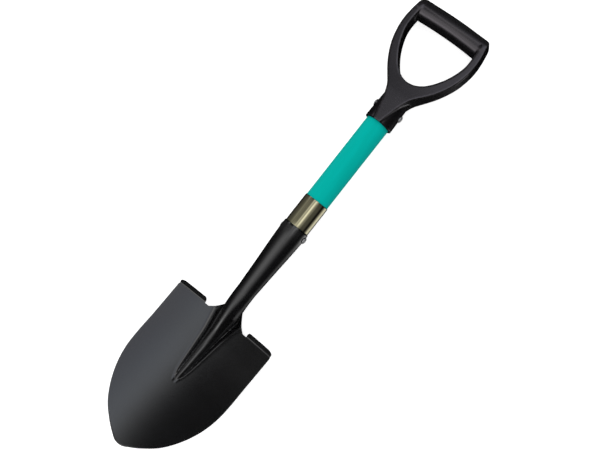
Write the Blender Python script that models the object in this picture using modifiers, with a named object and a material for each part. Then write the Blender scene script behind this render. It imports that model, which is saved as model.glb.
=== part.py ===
"""Garden spade: short round-point digging spade with a riveted shaft and a D-grip.

The spade lies on its back. +Y runs along the shaft from the blade's tip to the grip, +X is the tool's
right-hand side and +Z comes out of the blade's hollow face. All working dimensions are millimetres,
measured from the tip (y) and from the shaft's axis (x, z); MM turns them into metres.
"""
import math

import bmesh
import bpy
from mathutils import Matrix, Vector

MM = 0.001

# Overall
TIP_Y, BACK_Y = 6.8, 681.0  # tip of the blade and back of the grip
MIDDLE = (TIP_Y + BACK_Y) / 2
AXIS_HEIGHT = 20.4          # shaft axis above the ground the spade lies on
GAP = 0.3                   # clearance between neighbouring pieces

# Blade sheet
SHEET = 1.5                 # steel thickness
STEP_Y = 201.5              # line where the steps are folded
TIP_CORNER = 44.0           # half width where the tip's curve hands over to the sides
NOTCH_X = 29.0              # inner end of the steps' flat, foot of the neck's fillet
OUTLINE = ((0.0, 0.0), (1.0, 6.2), (5.2, 14.0), (14.5, 27.8), (28.8, 44.3), (47.8, 58.2), (70.5, 69.0),
           (91.9, 74.6), (113.0, 76.4), (149.0, 76.3), (197.7, 76.7))     # measured from the tip
LEVEL = ((6.8, 38.6), (20.0, 35.2), (35.0, 30.4), (50.0, 25.2), (70.0, 18.6), (84.0, 14.1), (106.0, 8.0),
         (120.0, 4.5), (149.0, -1.1), (180.0, -5.8), (204.5, -9.3))
DISH = 0.0014               # crosswise hollow of the blade

# Frog: the raised ridge that carries the socket into the blade, with a groove each side
FROG_END = 104.0
GROOVE_X = ((104.0, 2.0), (119.5, 4.6), (150.0, 7.2), (177.0, 9.3), (192.0, 11.2), (204.5, 13.0), (225.0, 14.2))
CREST_X = ((104.0, 4.0), (119.5, 8.4), (150.0, 12.8), (177.0, 17.0), (192.0, 20.5), (204.5, 23.5), (225.0, 24.5))
GROOVE_DEPTH = ((104.0, 0.0), (109.0, 0.9), (119.5, 2.4), (150.0, 3.6), (177.0, 4.3), (204.5, 5.2), (225.0, 5.5))
RIDGE_Z = ((104.0, 8.6), (112.0, 7.9), (119.5, 7.2), (132.0, 5.6), (150.0, 3.8), (165.0, 2.6), (177.0, 2.8),
           (185.0, 4.2), (192.0, 6.3), (200.0, 8.8), (208.0, 10.6), (216.0, 12.0), (225.0, 12.9))
FREE_EDGE_X = ((201.5, 29.0), (204.0, 25.6), (207.0, 22.6), (210.5, 20.6), (215.0, 19.4), (222.0, 19.0))

# Steps
FLANGE_BEND_R = 2.6
FLANGE_ANGLE = 55.0
FLANGE_FLAT = 6.0

# Socket
NECK_TOP = 243.0
SOCKET_TOP = 349.6
SOCKET_R = ((240.0, 12.9), (250.0, 13.0), (262.0, 13.7), (285.0, 14.9), (314.6, 16.8), (335.0, 17.8),
            (349.6, 18.0))
SEAM = 2.6                  # half angle of the open seam at the back, degrees

# Ferrule and shaft
FERRULE_TOP = 391.0
FERRULE_R = 17.05
SHAFT_R = 16.2
SHAFT_BORE = 13.0
SHAFT_FOOT = 335.0
SHAFT_TOP = 556.0
PLUG_FOOT = 262.0
LOWER_PLUG_TOP = 398.0
UPPER_PLUG_FOOT = 492.0

# D-grip
COLLAR_FOOT = 514.6
COLLAR = ((0.0, 566.0), (9.0, 565.0), (14.5, 562.5), (17.2, 559.0), (18.2, 554.0), (18.5, 545.0), (19.0, 530.0),
          (19.3, 518.0), (19.3, 515.3), (18.8, 514.6), (0.0, 514.6))
BORE_TOP = 558.0
GRIP_Y = 665.4
GRIP_R = 14.1
GRIP_BOW = 2.2
ARM_OUTER = ((514.6, 4.8), (530.0, 8.4), (541.0, 11.4), (551.0, 14.6), (561.0, 19.2), (569.8, 26.0),
             (577.3, 32.1), (584.8, 37.6), (592.3, 42.3), (599.9, 46.3), (607.4, 49.6), (614.9, 52.1),
             (622.4, 53.9), (629.9, 55.3), (637.4, 56.0), (644.9, 56.1), (652.4, 55.6), (660.0, 54.6),
             (667.5, 53.2))
ARM_INNER = ((577.4, 0.0), (578.0, 5.4), (580.4, 12.2), (584.8, 18.9), (592.3, 26.0), (599.9, 31.4),
             (607.4, 35.9), (614.9, 39.5), (622.4, 42.4), (629.9, 44.6), (637.4, 45.8), (644.9, 46.0),
             (652.4, 45.7), (667.5, 44.6))
SIDE_DEPTH = ((514.6, 20.4), (530.0, 20.1), (545.0, 19.6), (558.0, 18.9), (568.0, 17.2), (580.0, 15.2),
              (592.0, 14.0), (620.0, 13.4), (650.0, 13.7))
ARM_CAP_R = 14.7

# Rivets, both square across the tool
SOCKET_RIVET_Y = 341.8
COLLAR_RIVET_Y = 536.2
RIVET_R = 2.4
RIVET_HEAD_R = 4.6
RIVET_HEAD = 2.3
WASHER_R = 4.8
WASHER = 0.7

# Mesh fineness
HALF_RIDGE, HALF_WING = 7, 5
OUTER_X = (35.0, 38.0, 47.0, 56.5, 66.0, 71.6, 74.8, 76.7)
BLADE_ROWS = (0.0, 0.07, 0.15, 0.24, 0.33, 0.42, 0.50, 0.56, 0.62, 0.69, 0.76, 0.83, 0.89, 0.94, 0.975, 1.0)
NECK_ROWS = (204.0, 207.0, 210.5, 215.0, 220.0, 226.0, 231.0, 237.0, 243.0)
SOCKET_ROWS = (252.0, 262.0, 274.0, 286.0, 300.0, 314.6, 326.0, 337.0, 349.6)
RING = 48

COLOURS = {
    "black_enamel": ((0.022, 0.022, 0.025), 0.38, 0.0),
    "polished_steel": ((0.66, 0.62, 0.52), 0.12, 1.0),
    "teal_fibreglass": ((0.0025, 0.41, 0.36), 0.42, 0.0),
    "plug_plastic": ((0.55, 0.50, 0.42), 0.6, 0.0),
    "black_plastic": ((0.024, 0.023, 0.024), 0.45, 0.0),
    "zinc": ((0.60, 0.61, 0.63), 0.35, 1.0),
}


# ---------------------------------------------------------------- helpers
def clear_scene():
    for item in list(bpy.data.objects):
        bpy.data.objects.remove(item, do_unlink=True)


def collection(name):
    made = bpy.data.collections.new(name)
    bpy.context.scene.collection.children.link(made)
    return made


def material(name):
    colour, roughness, metallic = COLOURS[name]
    made = bpy.data.materials.get(name) or bpy.data.materials.new(name)
    made.use_nodes = True
    shader = made.node_tree.nodes["Principled BSDF"]
    shader.inputs["Base Color"].default_value = (*colour, 1.0)
    shader.inputs["Roughness"].default_value = roughness
    shader.inputs["Metallic"].default_value = metallic
    return made


def place(x, y, z):
    """Tool millimetres to the part's frame in metres."""
    return Vector((x * MM, (y - MIDDLE) * MM, (z + AXIS_HEIGHT) * MM))


def curve_value(table, at):
    """Smooth value of a table of (position, value) pairs, held flat beyond its ends."""
    if at <= table[0][0]:
        return table[0][1]
    if at >= table[-1][0]:
        return table[-1][1]
    slopes = []
    for i in range(len(table)):
        low, high = max(i - 1, 0), min(i + 1, len(table) - 1)
        slopes.append((table[high][1] - table[low][1]) / (table[high][0] - table[low][0]))
    for i in range(len(table) - 1):
        (x0, y0), (x1, y1) = table[i], table[i + 1]
        if at <= x1:
            t, h = (at - x0) / (x1 - x0), x1 - x0
            return ((2 * t ** 3 - 3 * t ** 2 + 1) * y0 + (t ** 3 - 2 * t ** 2 + t) * h * slopes[i]
                    + (3 * t ** 2 - 2 * t ** 3) * y1 + (t ** 3 - t ** 2) * h * slopes[i + 1])
    return table[-1][1]


def smoothstep(low, high, at):
    t = min(max((at - low) / (high - low), 0.0), 1.0)
    return t * t * (3 - 2 * t)


def mix(a, b, t):
    return a + (b - a) * t


def new_object(name, mesh, slot, parts):
    made = bpy.data.objects.new(name, mesh)
    mesh.materials.append(material(slot))
    parts.objects.link(made)
    return made


def smooth(item, degrees=40.0):
    item.data.shade_smooth()
    item.data.set_sharp_from_angle(angle=math.radians(degrees))


def turned(name, profile, slot, parts, axis="Y", at=(0.0, 0.0, 0.0), steps=RING):
    """Turn a profile of (radius, height) pairs, listed from the top down, about the tool's Y or X axis."""
    mesh = bpy.data.meshes.new(name)
    points = [(r * MM, 0.0, h * MM) for r, h in profile]
    closed = profile[0][0] > 0
    edges = [(i, i + 1) for i in range(len(points) - 1)] + ([(len(points) - 1, 0)] if closed else [])
    mesh.from_pydata(points, edges, [])
    made = new_object(name, mesh, slot, parts)
    screw = made.modifiers.new("turn", "SCREW")
    screw.steps = screw.render_steps = steps
    screw.use_merge_vertices = True
    screw.merge_threshold = 0.00001
    screw.use_smooth_shade = False
    made.rotation_euler = (-math.pi / 2, 0, 0) if axis == "Y" else (0, math.pi / 2, 0)
    made.location = place(*at)
    return made


def applied(item):
    """Replace an object's mesh with its evaluated one."""
    graph = bpy.context.evaluated_depsgraph_get()
    graph.update()
    mesh = bpy.data.meshes.new_from_object(item.evaluated_get(graph))
    item.modifiers.clear()
    item.data = mesh
    return item


def cylinder(name, radius, length, at, cutters):
    """Cutter along the tool's X axis."""
    bpy.ops.mesh.primitive_cylinder_add(vertices=20, radius=radius * MM, depth=length * MM,
                                        location=place(*at), rotation=(0, math.pi / 2, 0))
    made = bpy.context.object
    made.name = name
    for group in list(made.users_collection):
        group.objects.unlink(made)
    cutters.objects.link(made)
    return guide_only(made)


def guide_only(item):
    item.hide_render = True
    item.display_type = "WIRE"
    return item


def boolean(item, other, operation):
    step = item.modifiers.new(operation.lower(), "BOOLEAN")
    step.operation = operation
    step.solver = "EXACT"
    step.object = other


def rivet_hole(item, name, y, cutters):
    boolean(item, cylinder(name, RIVET_R + GAP, 60.0, (0, y, 0), cutters), "DIFFERENCE")


# ---------------------------------------------------------------- blade and socket
def sheet_level(y):
    """Height of the plain sheet on the blade's centre line."""
    return curve_value(LEVEL, y)


def half_width(y):
    """Half width of the blade; the table is read over sqrt(y) so that the tip comes out round."""
    return curve_value([(math.sqrt(a), b) for a, b in OUTLINE], math.sqrt(max(y - TIP_Y, 0.0)))


def outline_y(x):
    low, high = TIP_Y, 80.0
    for _ in range(40):
        mid = (low + high) / 2
        low, high = (mid, high) if half_width(mid) < x else (low, mid)
    return (low + high) / 2


def surface_z(x, y):
    """Front face of the blade at a point: dished sheet, grooves and the tube-like ridge."""
    x = abs(x)
    base = sheet_level(y) + DISH * x * x
    if y <= FROG_END:
        return base
    groove, crest = curve_value(GROOVE_X, y), curve_value(CREST_X, y)
    depth = curve_value(GROOVE_DEPTH, y)
    if x >= crest:
        return base
    if x >= groove:
        return base - depth * 0.5 * (1 + math.cos(math.pi * (x - groove) / (crest - groove)))
    rise = max(curve_value(RIDGE_Z, y) - sheet_level(y), 0.0) + depth
    return base - depth + rise * math.sqrt(1 - (x / groove) ** 2)


def ridge_turn(k):
    return math.radians(90.0) * k / HALF_RIDGE


def feature_x(k, y):
    """Crosswise place of centre column k when it follows the ridge, the groove and its crest."""
    groove = curve_value(GROOVE_X, y)
    if k <= HALF_RIDGE:
        return groove * math.sin(ridge_turn(k))
    crest = min(curve_value(CREST_X, y), curve_value(FREE_EDGE_X, y) - 1.0)
    edge = curve_value(FREE_EDGE_X, y)
    j = k - HALF_RIDGE
    rise = HALF_WING - 2
    return mix(groove, crest, j / rise) if j <= rise else mix(crest, edge, (j - rise) / (HALF_WING - rise))


def closed_angle(k):
    """Angle from the front to which column k is rolled once the socket is closed, degrees."""
    knots = [(0.0, 0.0), (0.641 * HALF_RIDGE, 90.0), (float(HALF_RIDGE), 146.0),
             (float(HALF_RIDGE + HALF_WING), 180.0 - SEAM)]
    return curve_value(knots, float(k))


def blade_point(side, k, v):
    """Point of the blade sheet in column k at height fraction v."""
    inner, outer = HALF_RIDGE + HALF_WING, HALF_RIDGE + HALF_WING + len(OUTER_X)
    full = OUTER_X[-1]
    if k <= inner:
        foot = TIP_CORNER * 0.44 * k / inner
        head = feature_x(k, STEP_Y)
    else:
        head = OUTER_X[k - inner - 1]
        foot = TIP_CORNER * mix(0.44, 1.0, (head - NOTCH_X) / (full - NOTCH_X))
    y = mix(outline_y(foot), STEP_Y, v)
    edge = half_width(mix(outline_y(TIP_CORNER), STEP_Y, v))
    x = mix(foot / TIP_CORNER, head / full, v) * edge
    if k == outer:
        x = edge
    if k <= inner:
        x = mix(x, feature_x(k, y), smoothstep(118.0, 178.0, y))
    return side * x, y, surface_z(x, y)


def neck_point(side, k, y):
    """Point of the sheet between the step line and the closed socket."""
    x = feature_x(k, y)
    z = surface_z(x, y)
    radius = curve_value(SOCKET_R, y)
    angle = math.radians(closed_angle(k))
    roll = smoothstep(204.5, NECK_TOP, y)
    return side * mix(x, radius * math.sin(angle), roll), y, mix(z, radius * math.cos(angle), roll)


def flange_rows(side, k):
    """Points of the turned step that grows from column k, shorter towards its ends."""
    x, y, z = blade_point(1, k, 1.0)
    tilt = math.atan((LEVEL[-1][1] - LEVEL[-2][1]) / (LEVEL[-1][0] - LEVEL[-2][0]))
    along, out = Vector((0, math.cos(tilt), math.sin(tilt))), Vector((0, -math.sin(tilt), math.cos(tilt)))
    inside = min(max((x - OUTER_X[0]) / 3.0, 0.0), 1.0)
    outside = min(max((OUTER_X[-1] - x) / 9.0, 0.0), 1.0)
    ends = min(0.35 + 0.65 * math.sqrt(1 - (1 - inside) ** 2), 0.06 + 0.94 * math.sqrt(1 - (1 - outside) ** 2))
    rows, foot = [], Vector((x, y, z))
    for step in (0.34, 0.67, 1.0):
        turn = math.radians(FLANGE_ANGLE) * step
        rows.append(foot + FLANGE_BEND_R * (math.sin(turn) * along + (1 - math.cos(turn)) * out))
    turn = math.radians(FLANGE_ANGLE)
    flat = FLANGE_FLAT * ends
    rows.append(rows[-1] + flat * (math.cos(turn) * along + math.sin(turn) * out))
    return [(side * p.x, p.y, p.z) for p in rows]


def sheet_mesh():
    """Front skin of the pressed sheet: blade, steps, frog, neck and socket in one open surface."""
    bm = bmesh.new()
    inner, outer = HALF_RIDGE + HALF_WING, HALF_RIDGE + HALF_WING + len(OUTER_X)
    grid = {}
    for i in range(-outer, outer + 1):
        side, k = (1 if i >= 0 else -1), abs(i)
        column = [blade_point(side, k, v) for v in BLADE_ROWS]
        if k <= inner:
            column += [neck_point(side, k, y) for y in NECK_ROWS]
            column += [neck_point(side, k, y) for y in SOCKET_ROWS]
        else:
            column += flange_rows(side, k)
        for j, point in enumerate(column):
            grid[i, j] = bm.verts.new(place(*point))
    last = len(BLADE_ROWS) - 1
    for (i, j) in list(grid):
        across = (i, i + 1)
        if j >= last and not (abs(i) <= inner) == (abs(i + 1) <= inner):
            continue
        corners = [(across[0], j), (across[1], j), (across[1], j + 1), (across[0], j + 1)]
        if i < 0:
            corners = corners[1:] + corners[:1]
        if all(c in grid for c in corners):
            bm.faces.new([grid[c] for c in (corners if i < 0 else corners[1:] + corners[:1])])
    return bm


def blade_and_socket(parts, cutters):
    mesh = bpy.data.meshes.new("blade_and_socket")
    bm = sheet_mesh()
    bmesh.ops.recalc_face_normals(bm, faces=bm.faces)
    if max(bm.faces, key=lambda f: f.calc_area()).normal.z < 0:
        bmesh.ops.reverse_faces(bm, faces=bm.faces)
    bm.to_mesh(mesh)
    bm.free()
    made = new_object("blade_and_socket", mesh, "black_enamel", parts)
    wall = made.modifiers.new("sheet", "SOLIDIFY")
    wall.thickness = SHEET * MM
    wall.offset = -1.0
    wall.use_even_offset = True
    wall.thickness_clamp = 0.0
    applied(made)
    rivet_hole(made, "cut_socket_rivet", SOCKET_RIVET_Y, cutters)
    applied(made)
    smooth(made, 50.0)
    return made


# ---------------------------------------------------------------- shaft, ferrule and plugs
def socket_inside(y):
    """Free radius inside the rolled socket, less the flats of its facets."""
    return curve_value(SOCKET_R, y) - SHEET - 0.4


def ferrule(parts):
    foot, top, inside = SOCKET_TOP + GAP, FERRULE_TOP, SHAFT_R + GAP
    profile = [(inside, top), (FERRULE_R - 0.3, top), (FERRULE_R, top - 0.5), (FERRULE_R, foot + 0.5),
               (FERRULE_R - 0.3, foot), (inside, foot)]
    made = turned("ferrule", profile, "polished_steel", parts)
    smooth(applied(made))


def shaft(parts, cutters):
    top, foot, bore = SHAFT_TOP, SHAFT_FOOT, SHAFT_BORE
    taper = min(SHAFT_R, socket_inside(foot) - GAP)
    entry = socket_inside(SOCKET_TOP) - GAP
    profile = [(bore, top), (SHAFT_R - 0.6, top), (SHAFT_R, top - 0.6), (SHAFT_R, SOCKET_TOP + 6.0),
               (entry, SOCKET_TOP + 0.6), (taper, foot), (bore, foot)]
    made = turned("shaft", profile, "teal_fibreglass", parts)
    applied(made)
    rivet_hole(made, "cut_shaft_foot", SOCKET_RIVET_Y, cutters)
    rivet_hole(made, "cut_shaft_top", COLLAR_RIVET_Y, cutters)
    smooth(applied(made))


def plugs(parts, cutters):
    snug = SHAFT_BORE - GAP
    below = [(min(snug, socket_inside(y) - GAP), y)
             for y in (SHAFT_FOOT - 0.6, 314.6, 300.0, 285.0, PLUG_FOOT + 1.0)]
    lower = [(0.0, LOWER_PLUG_TOP), (snug - 1.0, LOWER_PLUG_TOP), (snug, LOWER_PLUG_TOP - 1.0),
             (snug, SHAFT_FOOT + 1.0)]
    lower += below + [(below[-1][0] - 1.0, PLUG_FOOT), (0.0, PLUG_FOOT)]
    upper = [(0.0, SHAFT_TOP - 0.5), (snug - 1.0, SHAFT_TOP - 0.5), (snug, SHAFT_TOP - 1.5),
             (snug, UPPER_PLUG_FOOT + 1.0), (snug - 1.0, UPPER_PLUG_FOOT), (0.0, UPPER_PLUG_FOOT)]
    for name, profile, y in (("lower_core_plug", lower, SOCKET_RIVET_Y),
                             ("upper_core_plug", upper, COLLAR_RIVET_Y)):
        made = turned(name, profile, "plug_plastic", parts)
        applied(made)
        rivet_hole(made, "cut_" + name, y, cutters)
        smooth(applied(made))


# ---------------------------------------------------------------- rivets
def rivet(name, y, reach, washer, parts):
    """Domed head on the right, shank across the tool and clenched tail on the left, over a washer or flat."""
    face = reach + GAP
    outer = -face
    tail = outer - WASHER - GAP if washer else outer
    rise = 0.9 if washer else 0.5
    dome = [(RIVET_HEAD_R * math.sin(math.radians(a)), face + RIVET_HEAD * math.cos(math.radians(a)))
            for a in (0, 20, 40, 60, 80, 90)]
    profile = dome + [(RIVET_R, face), (RIVET_R, tail), (RIVET_R + 1.1, tail), (RIVET_R + 0.9, tail - 0.5 * rise),
                      (RIVET_R - 0.4, tail - 0.95 * rise), (0.0, tail - rise)]
    smooth(applied(turned(name, profile, "zinc", parts, axis="X", at=(0, y, 0), steps=24)))
    if washer:
        ring = [(RIVET_R + GAP, outer), (WASHER_R, outer), (WASHER_R, outer - WASHER),
                (RIVET_R + GAP, outer - WASHER)]
        smooth(applied(turned(name + "_washer", ring, "zinc", parts, axis="X", at=(0, y, 0), steps=24)))


# ---------------------------------------------------------------- D-grip
def outline_slab(name, points, half, flat_axis, cutters):
    """Closed flat outline, extruded both ways; flat_axis is the tool axis that the slab is thick along."""
    curve = bpy.data.curves.new(name, "CURVE")
    curve.dimensions = "2D"
    curve.fill_mode = "BOTH"
    curve.extrude = half * MM
    line = curve.splines.new("POLY")
    line.points.add(len(points) - 1)
    for point, (u, v) in zip(line.points, points):
        point.co = (u * MM, v * MM, 0.0, 1.0)
    line.use_cyclic_u = True
    guide = bpy.data.objects.new(name + "_curve", curve)
    cutters.objects.link(guide)
    if flat_axis == "X":
        guide.matrix_world = Matrix(((0, 0, 1, 0), (0, 1, 0, 0), (-1, 0, 0, 0), (0, 0, 0, 1)))
    return meshed(guide, name, cutters)


def meshed(guide, name, group):
    graph = bpy.context.evaluated_depsgraph_get()
    graph.update()
    mesh = bpy.data.meshes.new_from_object(guide.evaluated_get(graph))
    bm = bmesh.new()
    bm.from_mesh(mesh)
    bmesh.ops.remove_doubles(bm, verts=bm.verts, dist=0.00001)
    bmesh.ops.recalc_face_normals(bm, faces=bm.faces)
    bm.to_mesh(mesh)
    bm.free()
    made = bpy.data.objects.new(name, mesh)
    made.matrix_world = guide.matrix_world.copy()
    group.objects.link(made)
    bpy.data.objects.remove(guide, do_unlink=True)
    return guide_only(made)


def front_outline():
    """Y-shaped front view: web, both arms and their rounded tops."""
    right = [(x, y - MIDDLE) for y, x in ARM_OUTER]
    for turn in (20, 45, 70):
        a = math.radians(turn)
        right.append((mix(45.0, 53.2, math.cos(a)), mix(667.5, GRIP_Y + GRIP_R, math.sin(a)) - MIDDLE))
    right.append((45.0, GRIP_Y + GRIP_R - MIDDLE))
    inner = [(x, y - MIDDLE) for y, x in ARM_INNER]
    right += [(44.6, 671.0 - MIDDLE)] + inner[::-1]
    left = [(-x, y) for x, y in right[::-1] if x > 0]
    return right + left


def side_outline():
    """Depth of the grip seen from the side, rounded over the bar's axis."""
    front = [(d, y - MIDDLE) for y, d in SIDE_DEPTH]
    front += [(ARM_CAP_R * math.cos(math.radians(a)), GRIP_Y + ARM_CAP_R * math.sin(math.radians(a)) - MIDDLE)
              for a in range(-15, 91, 15)]
    return front + [(-d, y) for d, y in front[::-1] if d > 1e-6]


def grip_bar(cutters):
    """Slightly bowed round bar between the arms."""
    curve = bpy.data.curves.new("grip_bar", "CURVE")
    curve.dimensions = "3D"
    curve.bevel_depth = GRIP_R * MM
    curve.bevel_resolution = 8
    curve.use_fill_caps = True
    line = curve.splines.new("POLY")
    stations = [x * 49.5 / 6 for x in range(-6, 7)]
    line.points.add(len(stations) - 1)
    for point, x in zip(line.points, stations):
        bow = GRIP_BOW * (1 - (x / 49.5) ** 2)
        point.co = (x * MM, (GRIP_Y + bow - 0.6 - MIDDLE) * MM, AXIS_HEIGHT * MM, 1.0)
    guide = bpy.data.objects.new("grip_bar_curve", curve)
    cutters.objects.link(guide)
    return meshed(guide, "grip_bar", cutters)


def d_grip(parts, cutters):
    body = outline_slab("d_grip_front", front_outline(), 22.0, "Z", cutters)
    side = outline_slab("d_grip_side", side_outline(), 70.0, "X", cutters)
    for item in (body, side):
        item.location.z += AXIS_HEIGHT * MM
    boolean(body, side, "INTERSECT")
    applied(body)
    body.data.materials.clear()
    made = new_object("d_grip", body.data, "black_plastic", parts)
    made.matrix_world = body.matrix_world.copy()
    collar = turned("collar", COLLAR, "black_plastic", cutters)
    bore_r = SHAFT_R + GAP
    hole = [(0.0, BORE_TOP), (bore_r, BORE_TOP), (bore_r, COLLAR_FOOT - 10), (0.0, COLLAR_FOOT - 10)]
    bore = turned("cut_bore", hole, "black_plastic", cutters)
    for item in (collar, bore):
        guide_only(applied(item))
    boolean(made, grip_bar(cutters), "UNION")
    boolean(made, collar, "UNION")
    boolean(made, bore, "DIFFERENCE")
    rivet_hole(made, "cut_collar_rivet", COLLAR_RIVET_Y, cutters)
    smooth(applied(made), 35.0)
    return made


def build():
    clear_scene()
    parts, cutters = collection("garden_spade"), collection("cutters")
    blade_and_socket(parts, cutters)
    ferrule(parts)
    shaft(parts, cutters)
    plugs(parts, cutters)
    d_grip(parts, cutters)
    rivet("socket_rivet", SOCKET_RIVET_Y, 17.95, False, parts)
    rivet("collar_rivet", COLLAR_RIVET_Y, 18.95, True, parts)


build()
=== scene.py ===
"""Garden spade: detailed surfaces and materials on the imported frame, plus camera, light and floor.

Tool millimetres are used throughout: x across (the tool's right), y from the blade's tip towards the grip,
z out of the blade's hollow face with the shaft's axis at zero. place() turns them into the frame's metres.
"""

import math

import bmesh
import bpy
import numpy as np
from mathutils import Matrix, Vector


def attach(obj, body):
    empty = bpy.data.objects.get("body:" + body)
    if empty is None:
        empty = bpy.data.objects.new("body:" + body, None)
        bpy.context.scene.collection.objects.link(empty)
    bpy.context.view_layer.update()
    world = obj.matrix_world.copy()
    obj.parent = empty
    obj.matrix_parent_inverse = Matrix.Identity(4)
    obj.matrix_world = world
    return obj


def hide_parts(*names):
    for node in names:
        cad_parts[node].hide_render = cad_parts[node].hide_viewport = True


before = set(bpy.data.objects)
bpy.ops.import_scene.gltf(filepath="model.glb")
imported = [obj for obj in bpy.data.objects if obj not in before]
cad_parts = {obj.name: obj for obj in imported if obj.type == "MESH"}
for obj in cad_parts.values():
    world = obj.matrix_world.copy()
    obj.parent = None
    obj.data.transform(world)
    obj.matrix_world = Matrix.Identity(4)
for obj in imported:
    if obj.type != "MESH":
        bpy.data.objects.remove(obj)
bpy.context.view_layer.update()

MM = 0.001
TIP_Y, BACK_Y = 6.8, 681.0
MIDDLE = (TIP_Y + BACK_Y) / 2
AXIS_HEIGHT = 20.4
GAP = 0.3

# Blade sheet
SHEET = 1.5
SHEET_CLAMP = 1.2  # in shortest edges: where the mesh is fine, it leaves the sheet thinner than SHEET
STEP_Y = 201.5
TIP_CORNER = 44.0
NOTCH_X = 29.0
OUTLINE = ((0.0, 0.0), (1.0, 6.2), (5.2, 14.0), (14.5, 27.8), (28.8, 44.3), (47.8, 58.2), (70.5, 69.0),
           (91.9, 74.6), (113.0, 76.4), (149.0, 76.3), (197.7, 76.7))
LEVEL = ((6.8, 38.6), (20.0, 35.2), (35.0, 30.4), (50.0, 25.2), (70.0, 18.6), (84.0, 14.1), (106.0, 8.0),
         (120.0, 4.5), (149.0, -1.1), (180.0, -5.8), (204.5, -9.3))
DISH = 0.0014

# Frog
FROG_END = 104.0
GROOVE_X = (
    (104.0, 2.0), (119.5, 4.6), (150.0, 7.2), (177.0, 9.3), (192.0, 11.2), (204.5, 13.0), (225.0, 14.2))
CREST_X = (
    (104.0, 4.0), (119.5, 8.4), (150.0, 12.8), (177.0, 17.0), (192.0, 20.5), (204.5, 23.5), (225.0, 24.5))
GROOVE_DEPTH = (
    (104.0, 0.0), (109.0, 0.9), (119.5, 2.4), (150.0, 3.6), (177.0, 4.3), (204.5, 5.2), (225.0, 5.5))
RIDGE_Z = ((104.0, 8.6), (112.0, 7.9), (119.5, 7.2), (132.0, 5.6), (150.0, 3.8), (165.0, 2.6), (177.0, 2.8),
           (185.0, 4.2), (192.0, 6.3), (200.0, 8.8), (208.0, 10.6), (216.0, 12.0), (225.0, 12.9))
FREE_EDGE_X = ((201.5, 29.0), (204.0, 25.6), (207.0, 22.6), (210.5, 20.6), (215.0, 19.4), (222.0, 19.0))

# Steps
FLANGE_IN, FLANGE_OUT = 35.0, 76.7
FLANGE_BEND_R = 2.6
FLANGE_ANGLE = 55.0
FLANGE_FLAT = 6.0

# Socket
NECK_TOP = 243.0
SOCKET_TOP = 349.6
SOCKET_R = ((240.0, 12.9), (250.0, 13.0), (262.0, 13.7), (285.0, 14.9), (314.6, 16.8), (335.0, 17.8),
            (349.6, 18.0))
SEAM = 2.6

# Shaft, ferrule and plugs
FERRULE_TOP = 391.0
FERRULE_R = 17.05
SHAFT_R = 16.2
SHAFT_BORE = 13.0
SHAFT_FOOT, SHAFT_TOP = 335.0, 556.0

# D-grip
COLLAR_FOOT, BORE_TOP = 514.6, 558.0
COLLAR = (
    (0.0, 566.0), (9.0, 565.0), (14.5, 562.5), (17.2, 559.0), (18.2, 554.0), (18.5, 545.0), (19.0, 530.0),
    (19.3, 518.0), (19.3, 505.0))
RIM_CUT = 1.4
GRIP_Y, GRIP_R, GRIP_BOW = 665.4, 14.1, 2.2
ARM_OUTER = (
    (505.0, 4.2), (514.6, 4.8), (530.0, 8.4), (541.0, 11.4), (551.0, 14.6), (561.0, 19.2), (569.8, 26.0),
    (577.3, 32.1), (584.8, 37.6), (592.3, 42.3), (599.9, 46.3), (607.4, 49.6), (614.9, 52.1), (622.4, 53.9),
    (629.9, 55.3), (637.4, 56.0), (644.9, 56.1), (652.4, 55.6), (660.0, 54.6), (667.5, 53.2))
ARM_INNER = ((577.4, 0.0), (578.0, 5.4), (580.4, 12.2), (584.8, 18.9), (592.3, 26.0), (599.9, 31.4),
             (607.4, 35.9), (614.9, 39.5), (622.4, 42.4), (629.9, 44.6), (637.4, 45.8), (644.9, 46.0),
             (652.4, 45.7), (667.5, 44.6))
SIDE_DEPTH = ((505.0, 20.4), (514.6, 20.4), (530.0, 20.1), (545.0, 19.6), (558.0, 18.9), (568.0, 17.2),
              (580.0, 15.2), (592.0, 14.0), (620.0, 13.4), (650.0, 13.7))
GRIP_FOOT, OPENING_FOOT = 505.0, 577.4
CORNER_X, CORNER_Y, CORNER_WIDTH, CORNER_HEIGHT = 45.0, 667.5, 8.2, 12.2
SIDE_TOP, SIDE_END_R = 652.0, 14.7
BAR_END = 49.0
WEB_EDGE, ARM_EDGE = 0.8, 1.7
GRIP_STEP = 0.9

# Rivets
SOCKET_RIVET_Y, COLLAR_RIVET_Y = 341.8, 536.2
RIVET_R, RIVET_HEAD_R, RIVET_HEAD = 2.4, 4.6, 2.3
WASHER_R, WASHER = 4.8, 0.7

# Section through the frog, and fineness of the sheet
SECTION_REACH, SECTION_STEP = 36.0, 0.25
WALL_POWER = 1.6
COLS_RIDGE, COLS_WING, COLS_OUTER = 26, 20, 34
ROWS_BLADE, ROWS_NECK, ROWS_SOCKET = 96, 36, 40


def place(x, y, z):
    return Vector((x * MM, (y - MIDDLE) * MM, (z + AXIS_HEIGHT) * MM))


def hermite(table, at):
    """Smooth value of a table of (position, value) pairs at one or many positions, flat beyond its ends."""
    xs, ys = np.array(table, float).T
    low, high = np.maximum(np.arange(len(xs)) - 1, 0), np.minimum(np.arange(len(xs)) + 1, len(xs) - 1)
    slope = (ys[high] - ys[low]) / (xs[high] - xs[low])
    q = np.clip(np.asarray(at, float), xs[0], xs[-1])
    i = np.clip(np.searchsorted(xs, q, side="right") - 1, 0, len(xs) - 2)
    h = xs[i + 1] - xs[i]
    t = (q - xs[i]) / h
    return ((2 * t ** 3 - 3 * t ** 2 + 1) * ys[i] + (t ** 3 - 2 * t ** 2 + t) * h * slope[i]
            + (3 * t ** 2 - 2 * t ** 3) * ys[i + 1] + (t ** 3 - t ** 2) * h * slope[i + 1])


def smoothstep(low, high, at):
    t = np.clip((at - low) / (high - low), 0.0, 1.0)
    return t * t * (3 - 2 * t)


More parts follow.
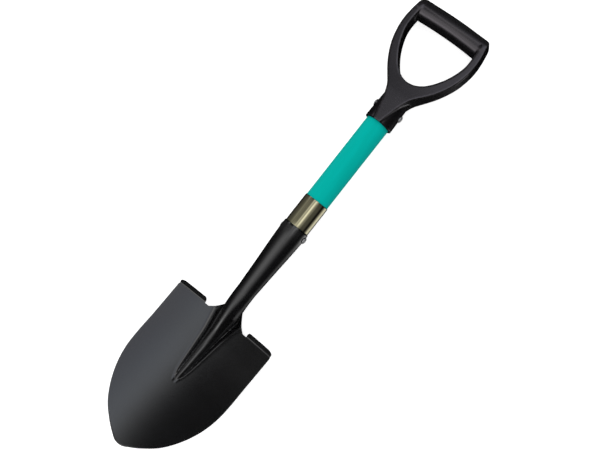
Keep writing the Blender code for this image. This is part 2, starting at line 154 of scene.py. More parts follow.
# ---------------------------------------------------------------- pressed sheet
def half_width(y):
    return hermite([(math.sqrt(a), b) for a, b in OUTLINE], np.sqrt(np.maximum(np.asarray(y) - TIP_Y, 0.0)))


OUTLINE_Y = np.linspace(TIP_Y, 90.0, 1500)
OUTLINE_W = half_width(OUTLINE_Y)


def plain_z(x, y):
    return hermite(LEVEL, y) + DISH * x * x


def softened(x, z, spread):
    """Evenly spaced points, averaged along the line with a bell of the given spread."""
    reach = int(3 * spread / SECTION_STEP) + 1
    kernel = np.exp(-0.5 * (np.arange(-reach, reach + 1) * SECTION_STEP / spread) ** 2)
    kernel /= kernel.sum()
    padded = [np.pad(v, reach, mode="reflect", reflect_type="odd") for v in (x, z)]
    return [np.convolve(v, kernel, "valid") for v in padded]


SECTIONS = {}


def section(y):
    """Right half of the open sheet's section at y, softened like pressed metal, with arc lengths."""
    key = round(float(y), 3)
    if key in SECTIONS:
        return SECTIONS[key]
    groove, crest = float(hermite(GROOVE_X, y)), float(hermite(CREST_X, y))
    depth = float(hermite(GROOVE_DEPTH, y))
    rise = max(float(hermite(RIDGE_Z, y)) - float(hermite(LEVEL, y)), 0.0) + depth
    turn = np.linspace(0.0, math.pi / 2, 90)
    x = list(groove * np.sin(turn))
    z = list(plain_z(np.array(x), y) - depth + rise * np.cos(turn))
    wall = np.linspace(0.0, 1.0, 26)[1:]
    xw = groove + (crest - groove) * wall
    x += list(xw)
    z += list(plain_z(xw, y) - depth * (1 - wall) ** WALL_POWER)
    flat = np.linspace(crest, SECTION_REACH, 50)[1:]
    x += list(flat)
    z += list(plain_z(flat, y))
    x, z = np.array(x), np.array(z)
    x, z = np.concatenate((-x[:0:-1], x)), np.concatenate((z[:0:-1], z))
    arc = np.concatenate(([0.0], np.cumsum(np.hypot(np.diff(x), np.diff(z)))))
    fine = np.linspace(0.0, arc[-1], int(arc[-1] / SECTION_STEP))
    x, z = np.interp(fine, arc, x), np.interp(fine, arc, z)
    tight = softened(x, z, min(0.4, 0.05 * crest))
    loose = softened(x, z, min(1.8, 0.12 * crest))
    share = smoothstep(groove, crest, np.abs(x))
    x, z = tight[0] + (loose[0] - tight[0]) * share, tight[1] + (loose[1] - tight[1]) * share
    middle = len(x) // 2
    x, z = x[middle:], z[middle:]
    x = x - x[0]
    arc = np.concatenate(([0.0], np.cumsum(np.hypot(np.diff(x), np.diff(z)))))
    SECTIONS[key] = (x, z, arc)
    return SECTIONS[key]


# Last column that goes on into the neck, and last column of the blade
INNER = COLS_RIDGE + COLS_WING
OUTER = INNER + COLS_OUTER


def feature_arc(k, y):
    """Arc length at which centre column k rides when it follows ridge, groove, crest and free edge."""
    x, _, arc = section(y)
    groove, crest, edge = (float(hermite(table, y)) for table in (GROOVE_X, CREST_X, FREE_EDGE_X))
    a_edge = np.interp(edge, x, arc)
    a_groove = np.interp(groove, x, arc)
    a_crest = min(np.interp(crest, x, arc), a_edge - 0.25 * (a_edge - a_groove))
    columns = (0, COLS_RIDGE, COLS_RIDGE + 0.62 * COLS_WING, INNER)
    return np.interp(k, columns, (0.0, a_groove, a_crest, a_edge))


def closed_angle(k):
    return float(hermite(((0.0, 0.0), (0.62 * COLS_RIDGE, 90.0), (float(COLS_RIDGE), 146.0),
                          (float(INNER), 180.0 - SEAM)), float(k)))


def outer_x(k):
    """Crosswise stations of the outer columns at the step line."""
    t = (k - INNER) / COLS_OUTER
    return float(np.interp(t, (0.0, 0.18, 1.0), (NOTCH_X, FLANGE_IN, FLANGE_OUT)))


def blade_point(k, v):
    """Point of column k at the fraction v of the way from the tip's edge to the step line."""
    if k <= INNER:
        x, _, arc = section(STEP_Y)
        foot = TIP_CORNER * 0.44 * k / INNER
        head = float(np.interp(feature_arc(k, STEP_Y), arc, x))
    else:
        head = outer_x(k)
        foot = TIP_CORNER * (0.44 + 0.56 * (head - NOTCH_X) / (FLANGE_OUT - NOTCH_X))
    low = float(np.interp(foot, OUTLINE_W, OUTLINE_Y))
    corner = float(np.interp(TIP_CORNER, OUTLINE_W, OUTLINE_Y))
    y = low + (STEP_Y - low) * v
    edge = float(half_width(corner + (STEP_Y - corner) * v))
    x = (foot / TIP_CORNER * (1 - v) + head / FLANGE_OUT * v) * edge
    sink = max(0.0, (y - STEP_Y) / 3.5 + 1.0)
    x -= 0.6 * (1 - math.sqrt(1 - min(sink, 1.0) ** 2)) * (x / edge) ** 10
    if k <= INNER and y > FROG_END - 6:
        xs, zs, arc = section(y)
        a = np.interp(x, xs, arc)
        a += (feature_arc(k, y) - a) * float(smoothstep(116.0, 176.0, y))
        return float(np.interp(a, arc, xs)), y, float(np.interp(a, arc, zs))
    return x, y, float(plain_z(x, y))


def neck_point(k, y):
    """Point of column k at y, where the open section rolls up into the round socket."""
    xs, zs, arc = section(min(y, 225.0))
    a = feature_arc(k, min(y, 225.0))
    x, z = float(np.interp(a, arc, xs)), float(np.interp(a, arc, zs))
    radius, angle = float(hermite(SOCKET_R, y)), math.radians(closed_angle(k))
    roll = float(smoothstep(203.5, NECK_TOP, y))
    return x + (radius * math.sin(angle) - x) * roll, y, z + (radius * math.cos(angle) - z) * roll


def flange_rows(k):
    """Points of column k's turned step, past the step line."""
    x, y, z = blade_point(k, 1.0)
    if not FLANGE_IN - 0.3 <= x <= FLANGE_OUT + 0.3:
        return []
    tilt = math.atan((LEVEL[-1][1] - LEVEL[-2][1]) / (LEVEL[-1][0] - LEVEL[-2][0]))
    along, out = Vector((0, math.cos(tilt), math.sin(tilt))), Vector((0, -math.sin(tilt), math.cos(tilt)))
    rows, foot = [], Vector((x, y, z))
    for step in range(1, 7):
        turn = math.radians(FLANGE_ANGLE) * step / 6
        rows.append(foot + FLANGE_BEND_R * (math.sin(turn) * along + (1 - math.cos(turn)) * out))
    turn = math.radians(FLANGE_ANGLE)
    inside = min(max((x - FLANGE_IN) / 2.6, 0.0), 1.0)
    outside = min(max((FLANGE_OUT - x) / 9.0, 0.0), 1.0)
    ends = min(0.35 + 0.65 * math.sqrt(1 - (1 - inside) ** 2),
               0.06 + 0.94 * math.sqrt(1 - (1 - outside) ** 2))
    base = rows[-1]
    for step in (0.25, 0.5, 0.75, 1.0):
        length = float(FLANGE_FLAT * ends * step)
        rows.append(base + length * (math.cos(turn) * along + math.sin(turn) * out))
    return [tuple(p) for p in rows]


def blade_fractions():
    """Height fractions of the blade's rows, closer together at the step line."""
    t = np.linspace(0.0, 1.0, ROWS_BLADE + 1)
    return 1 - (1 - t) ** 1.25


def sheet_columns():
    """Right half of the sheet as columns of points from the tip up."""
    half = []
    neck = np.linspace(STEP_Y, NECK_TOP, ROWS_NECK + 1)[1:]
    socket = np.linspace(NECK_TOP, SOCKET_TOP, ROWS_SOCKET + 1)[1:]
    for k in range(OUTER + 1):
        column = [blade_point(k, v) for v in blade_fractions()]
        if k <= INNER:
            column += [neck_point(k, y) for y in neck] + [neck_point(k, y) for y in socket]
        else:
            column += flange_rows(k)
        half.append(column)
    return half


def sheet_object():
    half = sheet_columns()
    bm, grid = bmesh.new(), {}
    for i in range(-OUTER, OUTER + 1):
        for j, (x, y, z) in enumerate(half[abs(i)]):
            grid[i, j] = bm.verts.new(place(x if i >= 0 else -x, y, z))
    for i, j in list(grid):
        if j >= ROWS_BLADE and (abs(i) <= INNER) != (abs(i + 1) <= INNER):
            continue
        corners = [(i, j), (i + 1, j), (i + 1, j + 1), (i, j + 1)]
        if i >= 0:
            corners = corners[1:] + corners[:1]
        if all(c in grid for c in corners):
            bm.faces.new([grid[c] for c in corners])
    mesh = bpy.data.meshes.new("spade_blade")
    bm.to_mesh(mesh)
    bm.free()
    made = linked("spade_blade", mesh)
    wall = made.modifiers.new("sheet", "SOLIDIFY")
    wall.thickness = SHEET * MM
    wall.offset = -1.0
    wall.use_even_offset = True
    wall.thickness_clamp = SHEET_CLAMP
    edge = made.modifiers.new("edge", "BEVEL")
    edge.width = 0.35 * MM
    edge.segments = 2
    edge.limit_method = "ANGLE"
    edge.angle_limit = math.radians(55)
    return made


# ---------------------------------------------------------------- helpers
def linked(name, data):
    made = bpy.data.objects.new(name, data)
    bpy.context.scene.collection.objects.link(made)
    return made


def turned(name, profile, steps=96, axis="Y", at=(0.0, 0.0, 0.0)):
    """Turn a profile of (radius, height) pairs, listed from the top down, about the tool's Y or X axis."""
    mesh = bpy.data.meshes.new(name)
    points = [(r * MM, 0.0, h * MM) for r, h in profile]
    edges = [(i, i + 1) for i in range(len(points) - 1)]
    if profile[0][0] > 0:
        edges.append((len(points) - 1, 0))
    mesh.from_pydata(points, edges, [])
    made = linked(name, mesh)
    screw = made.modifiers.new("turn", "SCREW")
    screw.steps = screw.render_steps = steps
    screw.use_merge_vertices = True
    screw.merge_threshold = 0.000001
    screw.use_smooth_shade = True
    made.rotation_euler = (-math.pi / 2, 0, 0) if axis == "Y" else (0, math.pi / 2, 0)
    made.location = place(*at)
    return baked(made)


def baked(item):
    """Apply an object's modifiers."""
    graph = bpy.context.evaluated_depsgraph_get()
    graph.update()
    mesh = bpy.data.meshes.new_from_object(item.evaluated_get(graph))
    item.modifiers.clear()
    item.data = mesh
    return item


def smooth(item, degrees=30.0):
    item.data.shade_smooth()
    item.data.set_sharp_from_angle(angle=math.radians(degrees))
    return item


def drilled(item, y):
    """Mark the rivet's hole across an object. The hole is only outlined: it is not opened."""
    radius, reach = RIVET_R + GAP, 60.0
    profile = [(radius, reach), (0.0, reach), (0.0, -reach), (radius, -reach)]
    tool = turned("drill", profile, 48, "X", (0.0, y, 0.0))
    tool.name = "drill"
    cut = item.modifiers.new("hole", "BOOLEAN")
    cut.operation, cut.solver, cut.object = "DIFFERENCE", "EXACT", tool
    baked(item)
    bpy.data.objects.remove(tool, do_unlink=True)
    return item


def finish_piece(item, node, paint):
    item.data.materials.clear()
    item.data.materials.append(paint)
    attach(item, "root")
    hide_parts(node)


# ---------------------------------------------------------------- D-grip
def signed_distance(u, v, loop):
    """Distance from points (u, v) to a closed loop, negative inside it."""
    best, inside = np.full(u.shape, 1e9), np.zeros(u.shape, bool)
    for (ax, ay), (bx, by) in zip(loop, loop[1:] + loop[:1]):
        ex, ey = bx - ax, by - ay
        t = np.clip(((u - ax) * ex + (v - ay) * ey) / max(ex * ex + ey * ey, 1e-12), 0.0, 1.0)
        best = np.minimum(best, (u - ax - t * ex) ** 2 + (v - ay - t * ey) ** 2)
        if ay != by:
            inside ^= ((ay > v) != (by > v)) & (u < ax + (v - ay) * ex / ey)
    return np.where(inside, -1.0, 1.0) * np.sqrt(best)


def rounded_both(a, b, radius):
    """Where both a and b are inside, with the edge between them rounded."""
    a, b = a + radius, b + radius
    return np.minimum(np.maximum(a, b), 0.0) + np.hypot(np.maximum(a, 0.0), np.maximum(b, 0.0)) - radius


def blended_either(a, b, width):
    """Where a or b is inside, with a fillet where they meet."""
    h = np.clip(0.5 + 0.5 * (b - a) / width, 0.0, 1.0)
    return b + (a - b) * h - width * h * (1 - h)


def arm_loop():
    """Front outline of the arms and the bar's ends, as pairs of width and height."""
    rows = np.arange(GRIP_FOOT, CORNER_Y, 1.25)
    loop = [(float(w), float(h)) for w, h in zip(hermite(ARM_OUTER, rows), rows)]
    loop += [(CORNER_X + CORNER_WIDTH * math.cos(t), CORNER_Y + CORNER_HEIGHT * math.sin(t))
             for t in np.linspace(0, math.pi / 2, 9)]
    return loop + [(-w, h) for w, h in loop[::-1]]


def opening_loop():
    """Front outline of the opening, as pairs of width and height, closely spaced at its round foot."""
    roots = [(math.sqrt(h - OPENING_FOOT), w) for h, w in ARM_INNER]
    turns = np.linspace(0.0, roots[-1][0], 90)
    loop = [(float(w), OPENING_FOOT + float(t) ** 2) for t, w in zip(turns, hermite(roots, turns))]
    return loop + [(-w, h) for w, h in loop[:0:-1]]


def side_loop():
    """Side outline of the grip, as pairs of height and depth."""
    rows = np.arange(GRIP_FOOT, SIDE_TOP, 2.0)
    loop = [(float(h), float(d)) for h, d in zip(rows, hermite(SIDE_DEPTH, rows))]
    loop += [(GRIP_Y + SIDE_END_R * math.sin(t), SIDE_END_R * math.cos(t))
             for t in np.linspace(-0.25, math.pi / 2, 20)]
    return loop + [(h, -d) for h, d in loop[::-1]]


def grip_distance(x, y, z):
    """Signed distance, near enough, of the moulded grip on a grid of x, y and z stations."""
    xy, yz = np.meshgrid(x, y, indexing="ij"), np.meshgrid(y, z, indexing="ij")
    plan = np.maximum(signed_distance(*xy, arm_loop()), -signed_distance(*xy, opening_loop()))[:, :, None]
    depth = signed_distance(*yz, side_loop())[None]
    edge = WEB_EDGE + (ARM_EDGE - WEB_EDGE) * smoothstep(572.0, 606.0, y)
    made = rounded_both(plan, depth, edge[None, :, None])
    bow = GRIP_BOW * (1 - (x / 49.5) ** 2) - 0.6
    across = y[None, :] - GRIP_Y - bow[:, None]
    bar = np.maximum(np.hypot(across[:, :, None], z) - GRIP_R, np.abs(x)[:, None, None] - BAR_END)
    made = blended_either(made, bar, 1.5)
    radius = np.hypot(x[:, None], z)
    r, h = radius[:, None, :] + 0 * y[None, :, None], y[None, :, None] + 0 * radius[:, None, :]
    collar = list(COLLAR) + [(-r, h) for r, h in COLLAR[::-1]]
    made = blended_either(made, signed_distance(r, h, collar), 1.2)
    rim = COLLAR_FOOT + RIM_CUT * np.clip(z / 19.0, 0.0, 1.0) ** 2
    made = rounded_both(made, rim[None, None, :] - y[None, :, None], 0.6)
    bore = np.maximum(r - SHAFT_R - GAP, h - BORE_TOP)
    hole = np.hypot(y[:, None] - COLLAR_RIVET_Y, z[None, :])[None] - RIVET_R - GAP
    return np.maximum(made, -np.minimum(bore, hole))


def surface_net(values, stations):
    """Quad mesh of the zero level of values on a grid, one vertex in each cell that the level crosses."""
    inside = values < 0
    cells = tuple(n - 1 for n in values.shape)
    total, count = np.zeros(cells + (3,)), np.zeros(cells)
    corner = [np.broadcast_to(s.reshape([-1 if a == b else 1 for b in range(3)]), values.shape)
              for a, s in enumerate(stations)]
    quads = []
    for axis in range(3):
        others = [a for a in range(3) if a != axis]
        low = [slice(None)] * 3
        high = [slice(None)] * 3
        low[axis], high[axis] = slice(0, -1), slice(1, None)
        low, high = tuple(low), tuple(high)
        cross = inside[low] != inside[high]
        where = np.where(cross, values[low] - values[high], 1.0)
        t = np.where(cross, values[low] / where, 0.0)
        point = [np.where(cross, corner[a][low] + t * (corner[a][high] - corner[a][low]), 0.0)
                 for a in range(3)]
        for step_a in (0, 1):
            for step_b in (0, 1):
                take = [slice(None)] * 3
                take[others[0]] = slice(step_a, step_a + cells[others[0]])
                take[others[1]] = slice(step_b, step_b + cells[others[1]])
                take = tuple(take)
                for a in range(3):
                    total[..., a] += point[a][take]
                count += cross[take]
        i, j, k = np.nonzero(cross)
        index = [i, j, k]
        keep = np.ones(len(i), bool)
        for a in others:
            keep &= (index[a] > 0) & (index[a] < cells[a])
        index = [n[keep] for n in index]
        ring = []
        for step_a, step_b in ((1, 1), (0, 1), (0, 0), (1, 0)):
            cell = [n.copy() for n in index]
            cell[others[0]] -= step_a
            cell[others[1]] -= step_b
            ring.append(np.ravel_multi_index(cell, cells))
        ring = np.stack(ring, axis=1)
        flip = inside[low][tuple(index)] if axis != 1 else ~inside[low][tuple(index)]
        ring[~flip] = ring[~flip][:, ::-1]
        quads.append(ring)
    used = np.flatnonzero(count.ravel())
    number = np.full(count.size, -1)
    number[used] = np.arange(len(used))
    points = total.reshape(-1, 3)[used] / count.ravel()[used, None]
    return points, number[np.concatenate(quads)]


def grip_object():
    x = np.arange(-58.5, 58.51, GRIP_STEP)
    y = np.arange(511.0, 684.0, GRIP_STEP)
    z = np.arange(-22.5, 22.51, GRIP_STEP)
    points, quads = surface_net(grip_distance(x, y, z), (x, y, z))
    points = (points + (0.0, -MIDDLE, AXIS_HEIGHT)) * MM
    mesh = bpy.data.meshes.new("spade_grip")
    mesh.from_pydata(points.tolist(), [], quads.tolist())
    mesh.validate()
    mesh.shade_smooth()
    made = linked("spade_grip", mesh)
    ease = made.modifiers.new("ease", "SMOOTH")
    ease.factor, ease.iterations = 0.5, 2
    return baked(made)


# ---------------------------------------------------------------- camera and light
FRAME_WIDTH, SENSOR_WIDTH = 600, 36.0
FOCAL, SHIFT_X, SHIFT_Y = 978.8, 0.79, -0.61  # in units of the frame's width / 600


def look_from(azimuth, elevation, roll, distance, target):
    """Camera axes for a view from the front, turned to the tool's right by azimuth."""
    a, e, r = (math.radians(v) for v in (azimuth, elevation, roll))
    back = Vector((math.sin(a) * math.cos(e), -math.sin(e), math.cos(a) * math.cos(e)))
    right = Vector((0, 1, 0)).cross(back).normalized()
    up = back.cross(right)
    x = math.cos(r) * right + math.sin(r) * up
    y = -math.sin(r) * right + math.cos(r) * up
    centre = place(*target) + back * distance * MM
    return Matrix(((x.x, y.x, back.x, centre.x), (x.y, y.y, back.y, centre.y), (x.z, y.z, back.z, centre.z),
                   (0, 0, 0, 1)))


def camera():
    data = bpy.data.cameras.new("camera")
    data.sensor_width = SENSOR_WIDTH
    data.lens = FOCAL / FRAME_WIDTH * SENSOR_WIDTH
    data.shift_x = SHIFT_X / FRAME_WIDTH
    data.shift_y = SHIFT_Y / FRAME_WIDTH
    made = linked("camera", data)
    made.matrix_world = look_from(13.45, 0.02, 38.19, 1234.4, (0.0, 354.99, 0.0))
    bpy.context.scene.camera = made


def area(name, position, aim, size, power, colour=(1, 1, 1)):
    data = bpy.data.lights.new(name, "AREA")
    data.shape = "RECTANGLE"
    data.size, data.size_y = size
    data.energy = power
    data.color = colour
    made = linked(name, data)
    made.location = position
    made.rotation_euler = (Vector(aim) - Vector(position)).to_track_quat("-Z", "Y").to_euler()
    return made


def ramp(tree, source, low, high, stops):
    """Colour ramp over low..high of a value; stops are (position, brightness or colour)."""
    scale = tree.nodes.new("ShaderNodeMapRange")
    scale.inputs["From Min"].default_value, scale.inputs["From Max"].default_value = low, high
    tree.links.new(source, scale.inputs["Value"])
    node = tree.nodes.new("ShaderNodeValToRGB")
    tree.links.new(scale.outputs["Result"], node.inputs["Fac"])
    marks = node.color_ramp.elements
    while len(marks) < len(stops):
        marks.new(0.5)
    for mark, (at, value) in zip(marks, stops):
        mark.position = (at - low) / (high - low)
    for mark, (at, value) in zip(marks, stops):
        colour = value if isinstance(value, tuple) else (value, value, value)
        mark.color = (*colour, 1.0)
    return node.outputs["Color"]


def mixed(tree, factor, a, b):
    node = tree.nodes.new("ShaderNodeMix")
    node.data_type = "RGBA"
    tree.links.new(factor, node.inputs["Factor"])
    for name, value in (("A", a), ("B", b)):
        socket = [i for i in node.inputs if i.name == name and i.type == "RGBA"][0]
        if isinstance(value, tuple):
            socket.default_value = (*value, 1.0)
        else:
            tree.links.new(value, socket)
    return [o for o in node.outputs if o.type == "RGBA"][0]


def sums(tree, operation, a, b=0.0):
    node = tree.nodes.new("ShaderNodeMath")
    node.operation = operation
    for socket, value in zip(node.inputs, (a, b)):
        if isinstance(value, (int, float)):
            socket.default_value = value
        else:
            tree.links.new(value, socket)
    return node.outputs[0]


def step_over(tree, source, low, high):
    node = tree.nodes.new("ShaderNodeMapRange")
    node.interpolation_type = "SMOOTHSTEP"
    node.inputs["From Min"].default_value, node.inputs["From Max"].default_value = low, high
    tree.links.new(source, node.inputs["Value"])
    return node.outputs["Result"]


# What gloss reflects: brightness or colour by direction, in degrees round the tool's length from straight above
# towards +x. AROUND is for directions square to the length, BELOW for those turned towards the blade's tip, LOW
# for those turned further that way, and ABOVE for those turned towards the grip. They suit one camera view.
AROUND = (
    (-180, 0.02), (-118, 0.04), (-103, 0.11), (-82, 0.13), (-68, 0.2), (-60, 0.32), (-52, 0.40),
    (-47, 0.26), (-38, 0.33), (-32, 0.25), (-20, 0.27), (-14, 0.28), (-9, 0.85), (-4, 0.95), (1, 0.7),
    (6, 0.75), (10, 1.7), (16, 1.8), (22, 1.0), (29, 0.45), (38, 0.34), (47, 0.15), (72, 0.12), (84, 0.015),
    (97, 0.015), (112, 0.4), (122, 1.1), (146, 1.2), (156, 0.08), (180, 0.02))
LOW = (
    (-180, 0.005), (-90, 0.005), (-62, 0.03), (-42, 0.4), (-22, 1.4), (-10, 2.2), (4, 2.1), (14, 1.0),
    (26, 0.2), (40, 0.01), (180, 0.005))
BELOW = (
    (-180, 0.01), (-118, 0.01), (-90, 0.01), (-75, 0.03), (-60, 0.1), (-45, 0.32), (-32, 0.8), (-22, 1.0),
    (-10, 1.1), (0, 0.95), (10, 0.66), (24, 0.38), (36, 0.12), (48, 0.015), (97, 0.02), (112, 0.15),
    (122, 0.3), (134, 0.3), (144, 0.03), (180, 0.005))
ABOVE = (
    (-180, 0.005), (-78, 0.01), (-68, 0.05), (-63, 1.1), (-55, 1.1), (-48, 0.03), (-20, 0.006), (-17, 0.08),
    (-13.5, 0.4), (-11, 0.75), (-8.5, (1.2, 1.27, 1.37)), (-5, (1.1, 1.18, 1.3)), (0, (0.78, 0.84, 0.96)),
    (7, (0.6, 0.61, 0.73)), (12, 0.7), (15, 1.4), (26, 1.4), (34, 0.4), (42, 0.02), (90, 0.004),
    (180, 0.002))


def studio():
    bpy.ops.mesh.primitive_plane_add(size=12.0, location=(0, 0, 0))
    floor = bpy.context.object
    floor.name = "floor"
    paint = bpy.data.materials.new("floor_paint")
    paint.use_nodes = True
    shader = paint.node_tree.nodes["Principled BSDF"]
    shader.inputs["Base Color"].default_value = (0.86, 0.86, 0.86, 1)
    shader.inputs["Roughness"].default_value = 0.9
    shader.inputs["Emission Color"].default_value = (1, 1, 1, 1)
    shader.inputs["Emission Strength"].default_value = 0.7
    floor.data.materials.append(paint)
    floor.visible_glossy = floor.visible_diffuse = False
    world = bpy.data.worlds.new("studio")
    bpy.context.scene.world = world
    world.use_nodes = True
    world.cycles.sampling_method = "NONE"
    tree = world.node_tree
    coordinate = tree.nodes.new("ShaderNodeTexCoord")
    split = tree.nodes.new("ShaderNodeSeparateXYZ")
    tree.links.new(coordinate.outputs["Generated"], split.inputs[0])
    x, y, z = split.outputs
    around = sums(tree, "MULTIPLY", sums(tree, "ARCTAN2", x, z), 180 / math.pi)
    tilt = sums(tree, "MULTIPLY", sums(tree, "ARCSINE", y), 180 / math.pi)
    light = mixed(tree, step_over(tree, tilt, -1.5, -4.0), ramp(tree, around, -180, 180, AROUND),
                  ramp(tree, around, -180, 180, BELOW))
    light = mixed(tree, step_over(tree, tilt, 3.0, 6.0), light, ramp(tree, around, -180, 180, ABOVE))
    light = mixed(tree, step_over(tree, tilt, 46.0, 68.0), light, (0.06, 0.06, 0.06))
    light = mixed(tree, step_over(tree, tilt, -28.0, -40.0), light, ramp(tree, around, -180, 180, LOW))
    light = mixed(tree, step_over(tree, tilt, -46.0, -60.0), light, (0.03, 0.03, 0.03))
    path = tree.nodes.new("ShaderNodeLightPath")
    soft = mixed(tree, step_over(tree, z, -0.5, 0.3), (0.5, 0.5, 0.5), (0.9, 0.9, 0.9))
    soft = mixed(tree, step_over(tree, x, 0.45, 1.1), soft, (0.4, 0.4, 0.4))
    soft = mixed(tree, path.outputs["Is Camera Ray"], soft, (1.0, 1.0, 1.0))
    room = mixed(tree, path.outputs["Is Glossy Ray"], soft, light)
    tree.links.new(room, tree.nodes["Background"].inputs["Color"])
    tree.nodes["Background"].inputs["Strength"].default_value = 1.0
    overhead = area("overhead", (-0.1, 0.3, 1.2), (0.0, 0.1, 0.0), (0.8, 1.2), 0.35 * math.pi * 0.96)
    overhead.visible_glossy = False
    bpy.context.scene.view_settings.view_transform = "Standard"


# ---------------------------------------------------------------- materials
def noise(tree, stretch, scale, detail):
    """Noise in the piece's own metres, stretched along its axes."""
    place_at = tree.nodes.new("ShaderNodeTexCoord")
    squeeze = tree.nodes.new("ShaderNodeMapping")
    squeeze.inputs["Scale"].default_value = stretch
    tree.links.new(place_at.outputs["Object"], squeeze.inputs["Vector"])
    made = tree.nodes.new("ShaderNodeTexNoise")
    made.inputs["Scale"].default_value = scale
    made.inputs["Detail"].default_value = detail
    tree.links.new(squeeze.outputs["Vector"], made.inputs["Vector"])
    return made.outputs["Fac"]


def between(tree, source, low, high):
    node = tree.nodes.new("ShaderNodeMapRange")
    node.inputs["From Min"].default_value, node.inputs["From Max"].default_value = 0.3, 0.7
    node.inputs["To Min"].default_value, node.inputs["To Max"].default_value = low, high
    tree.links.new(source, node.inputs["Value"])
    return node.outputs["Result"]


def material(name, tones, roughness, clouds, grain, height, metallic=0.0, specular=0.5, coat=None):
    """Principled paint: two tones and a roughness range over clouds, and a fine grain in the bump."""
    made = bpy.data.materials.new(name)
    made.use_nodes = True
    tree = made.node_tree
    shader = tree.nodes["Principled BSDF"]
    shader.inputs["Metallic"].default_value = metallic
    shader.inputs["Specular IOR Level"].default_value = specular
    cloud, fine = noise(tree, *clouds), noise(tree, *grain)
    tree.links.new(mixed(tree, between(tree, cloud, 0.0, 1.0), *tones), shader.inputs["Base Color"])
    tree.links.new(between(tree, fine, *roughness), shader.inputs["Roughness"])
    bump = tree.nodes.new("ShaderNodeBump")
    bump.inputs["Strength"].default_value = 1.0
    bump.inputs["Distance"].default_value = height
    tree.links.new(fine, bump.inputs["Height"])
    tree.links.new(bump.outputs["Normal"], shader.inputs["Normal"])
    if coat:
        shader.inputs["Coat Weight"].default_value = 1.0
        shader.inputs["Coat Roughness"].default_value = coat
        tree.links.new(bump.outputs["Normal"], shader.inputs["Coat Normal"])
    return made


EVEN = (1.0, 1.0, 1.0)
ENAMEL = material("black_enamel", ((0.0030, 0.0030, 0.0034), (0.0042, 0.0042, 0.0047)), (0.19, 0.25),
                  (EVEN, 38.0, 2.0), (EVEN, 620.0, 2.0), 0.000012, coat=0.17)
STEEL = material("polished_steel", ((0.42, 0.39, 0.25), (0.46, 0.43, 0.29)), (0.045, 0.085),
                 (EVEN, 60.0, 3.0), ((1.0, 1.0, 60.0), 45.0, 3.0), 0.0000015, metallic=1.0)
TEAL = material("teal_fibreglass", ((0.0, 0.45, 0.39), (0.0, 0.475, 0.42)), (0.44, 0.56),
                ((8.0, 8.0, 1.0), 22.0, 3.0), ((30.0, 30.0, 1.0), 60.0, 2.0), 0.000006, specular=0.03)
PLUG = material("plug_plastic", ((0.5, 0.45, 0.37), (0.6, 0.55, 0.47)), (0.5, 0.65),
                (EVEN, 90.0, 3.0), (EVEN, 900.0, 2.0), 0.00001)
PLASTIC = material("black_plastic", ((0.0036, 0.0034, 0.0038), (0.0052, 0.005, 0.0056)), (0.2, 0.28),
                   (EVEN, 55.0, 3.0), (EVEN, 1400.0, 2.0), 0.000006, specular=0.92)
PLASTIC.node_tree.nodes["Principled BSDF"].inputs["Specular Tint"].default_value = (1.0, 0.93, 1.0, 1.0)
ZINC = material("zinc", ((0.48, 0.48, 0.49), (0.68, 0.68, 0.69)), (0.3, 0.5),
                (EVEN, 700.0, 3.0), (EVEN, 1500.0, 3.0), 0.000008, metallic=0.75)


def ferrule_object():
    foot, top, inside, lip, ease = SOCKET_TOP + 0.08, FERRULE_TOP, SHAFT_R + GAP, 0.35, 0.7
    turns = [math.radians(a) for a in range(0, 91, 10)]
    outer = [(FERRULE_R - lip + lip * math.sin(t), top - ease + ease * math.cos(t)) for t in turns]
    outer += [(FERRULE_R - lip + lip * math.cos(t), foot + ease - ease * math.sin(t)) for t in turns]
    return smooth(turned("spade_ferrule", [(inside, top)] + outer + [(inside, foot)], 160), 60)


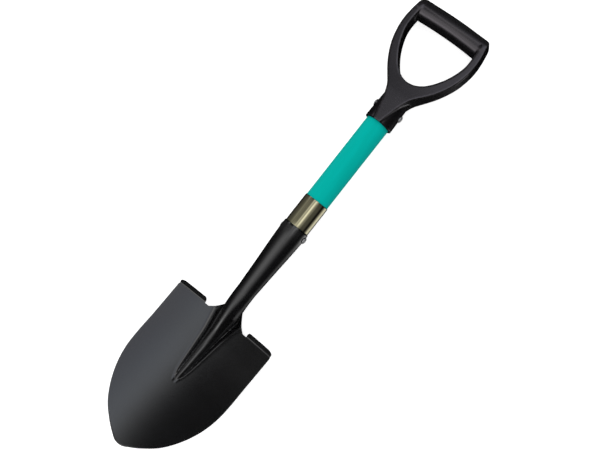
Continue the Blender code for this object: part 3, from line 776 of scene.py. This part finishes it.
def shaft_object():
    socket_room = float(hermite(SOCKET_R, SHAFT_FOOT)) - SHEET - 0.4 - GAP
    entry = float(hermite(SOCKET_R, SOCKET_TOP)) - SHEET - 0.4 - GAP
    profile = [(SHAFT_BORE, SHAFT_TOP), (SHAFT_R - 0.6, SHAFT_TOP), (SHAFT_R, SHAFT_TOP - 0.6),
               (SHAFT_R, SOCKET_TOP + 6.0), (entry, SOCKET_TOP + 0.6),
               (min(SHAFT_R, socket_room), SHAFT_FOOT), (SHAFT_BORE, SHAFT_FOOT)]
    made = turned("spade_shaft", profile, 128)
    return smooth(drilled(drilled(made, SOCKET_RIVET_Y), COLLAR_RIVET_Y))


def rivet_objects(name, y, reach, washer):
    """Domed head on the right, shank and clenched tail on the left, over a washer or flat on the steel."""
    face = reach + GAP
    outer = -face
    tail = outer - WASHER - GAP if washer else outer
    rise = 0.9 if washer else 0.5
    dome = [(RIVET_HEAD_R * math.sin(math.radians(a)), face + RIVET_HEAD * math.cos(math.radians(a)))
            for a in range(0, 91, 9)]
    shank = [(RIVET_R, face), (RIVET_R, tail)]
    clench = [(RIVET_R + 1.1, tail), (RIVET_R + 0.95, tail - 0.5 * rise), (RIVET_R + 0.3, tail - 0.85 * rise),
              (RIVET_R - 0.6, tail - rise), (0.0, tail - rise)]
    profile = dome + shank + clench
    made = [smooth(turned("spade_" + name, profile, 48, "X", (0.0, y, 0.0)), 35)]
    if washer:
        ring = [(RIVET_R + GAP, outer), (WASHER_R - 0.15, outer), (WASHER_R, outer - 0.15),
                (WASHER_R, outer - WASHER + 0.2), (WASHER_R - 0.2, outer - WASHER),
                (RIVET_R + GAP, outer - WASHER)]
        made.append(smooth(turned("spade_" + name + "_washer", ring, 48, "X", (0.0, y, 0.0)), 35))
    return made


blade = baked(sheet_object())
drilled(blade, SOCKET_RIVET_Y)
finish_piece(smooth(blade, 32), "blade_and_socket", ENAMEL)
finish_piece(ferrule_object(), "ferrule", STEEL)
finish_piece(shaft_object(), "shaft", TEAL)
finish_piece(grip_object(), "d_grip", PLASTIC)
for name, y, reach, washer in (("socket_rivet", SOCKET_RIVET_Y, 17.95, False),
                               ("collar_rivet", COLLAR_RIVET_Y, 18.95, True)):
    for item, node in zip(rivet_objects(name, y, reach, washer), (name, name + "_washer")):
        finish_piece(item, node, ZINC)
for name in ("lower_core_plug", "upper_core_plug"):
    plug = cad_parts[name]
    plug.data.materials.clear()
    plug.data.materials.append(PLUG)

camera()
studio()
